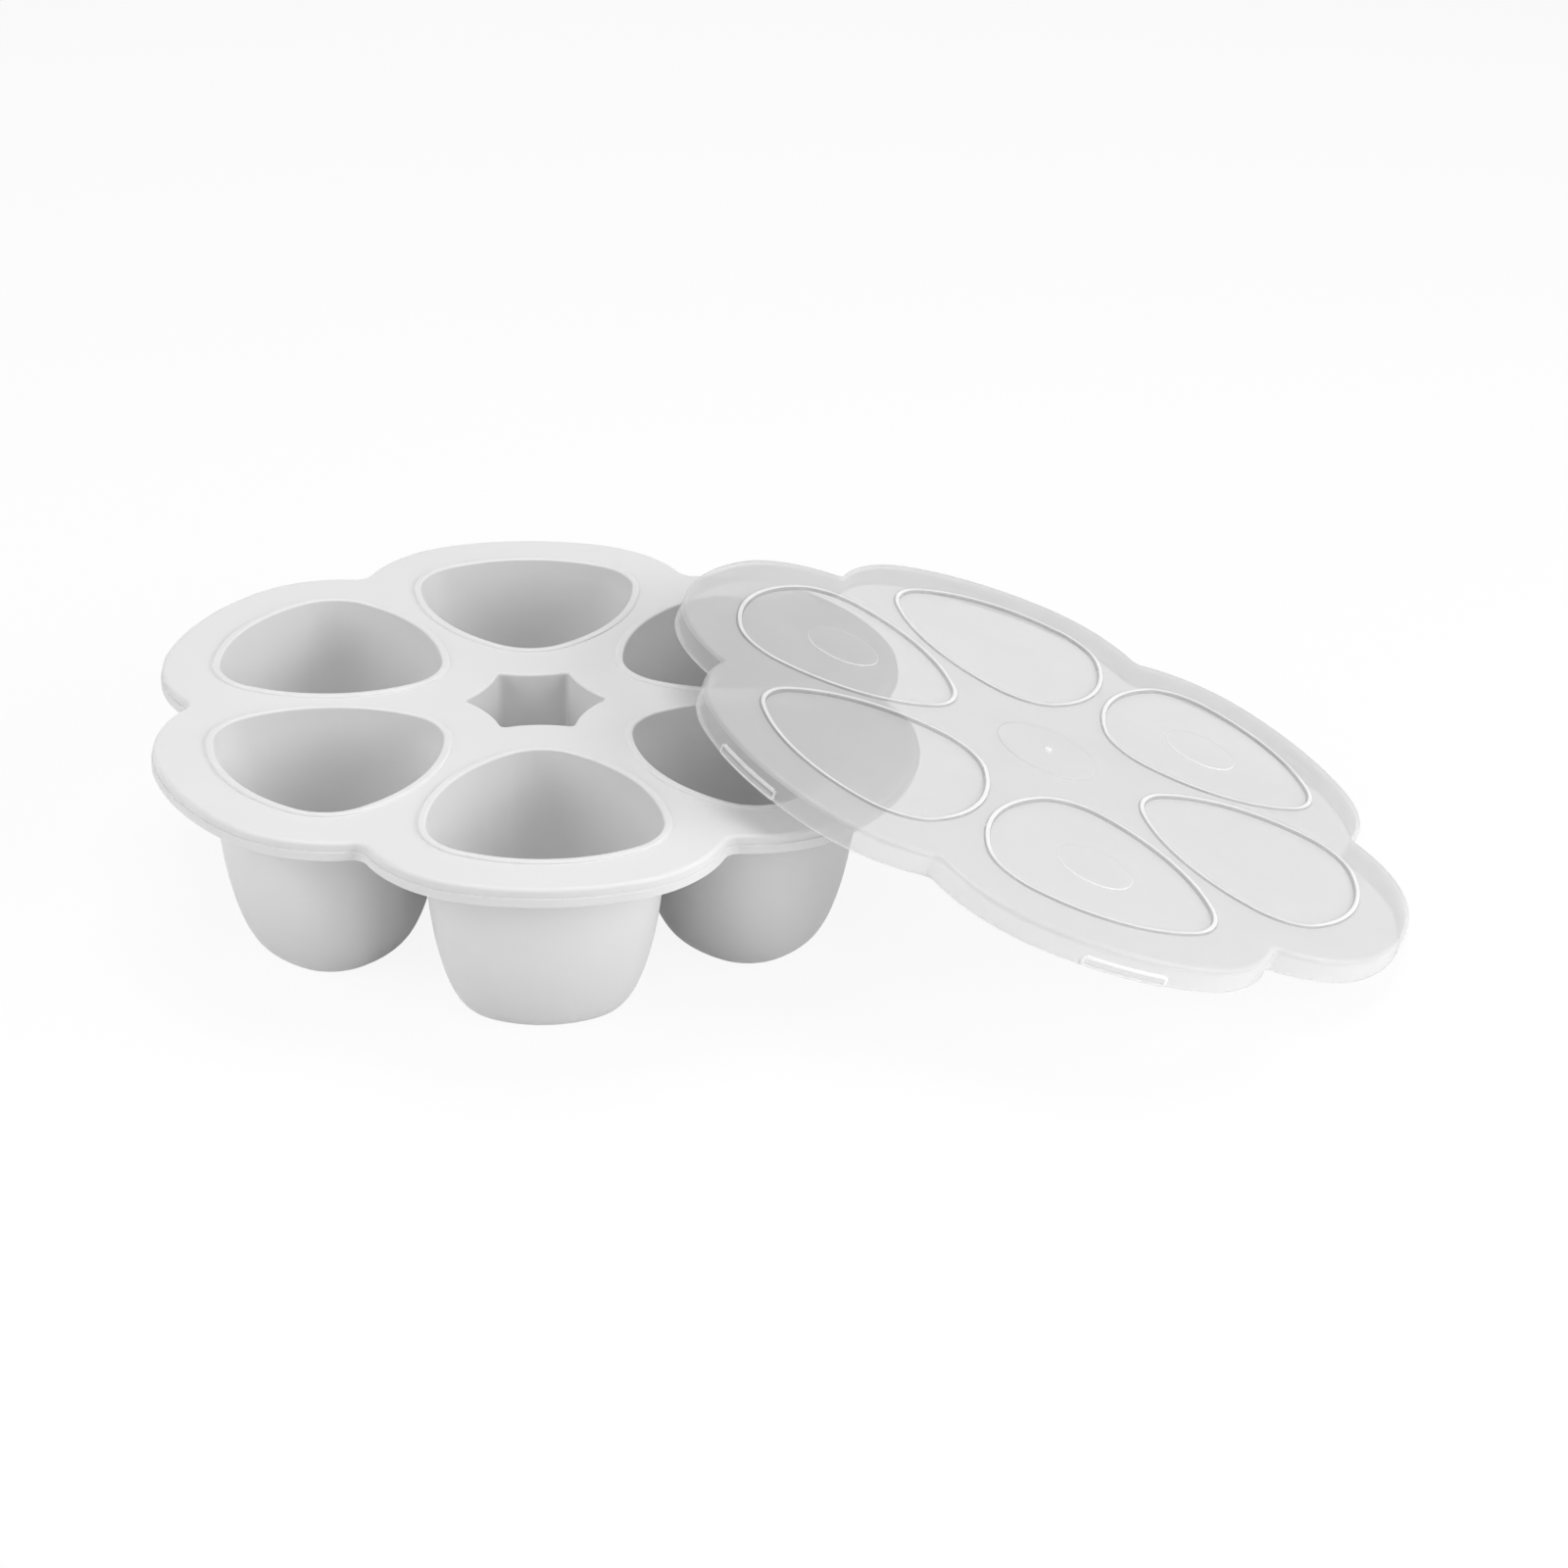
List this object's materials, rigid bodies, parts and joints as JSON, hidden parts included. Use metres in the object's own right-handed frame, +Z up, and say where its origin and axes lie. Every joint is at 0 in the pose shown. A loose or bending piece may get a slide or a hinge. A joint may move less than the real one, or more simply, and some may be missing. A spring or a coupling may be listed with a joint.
{
  "type": "baby food freezer tray",
  "caption": "Flower-shaped silicone freezer tray with rounded portion cups and a star-shaped centre pocket, and its clear skirted snap lid leaning on the rim.",
  "frame": {"origin": "middle of the whole footprint, tray and leaning lid together, on the surface that they stand on", "axes": "+Z up; +X from the tray towards the low edge of the leaning lid; +Y across, with cells of the tray on the tray's own axis along +Y and -Y"},
  "size_m": [0.372, 0.2506, 0.0829],
  "materials": {
    "silicone": "satin moulded silicone, light grey",
    "lid_plastic": "translucent polypropylene, low gloss"
  },
  "bodies": {
    "tray": {"silicone_tray": "silicone"},
    "lid": {"snap_lid": "lid_plastic"}
  },
  "joints": [
    {"name": "lid_lift", "type": "slide", "parent": "tray", "child": "lid", "axis": [0, 0, 1], "range_m": [0, 0.09]}
  ]
}
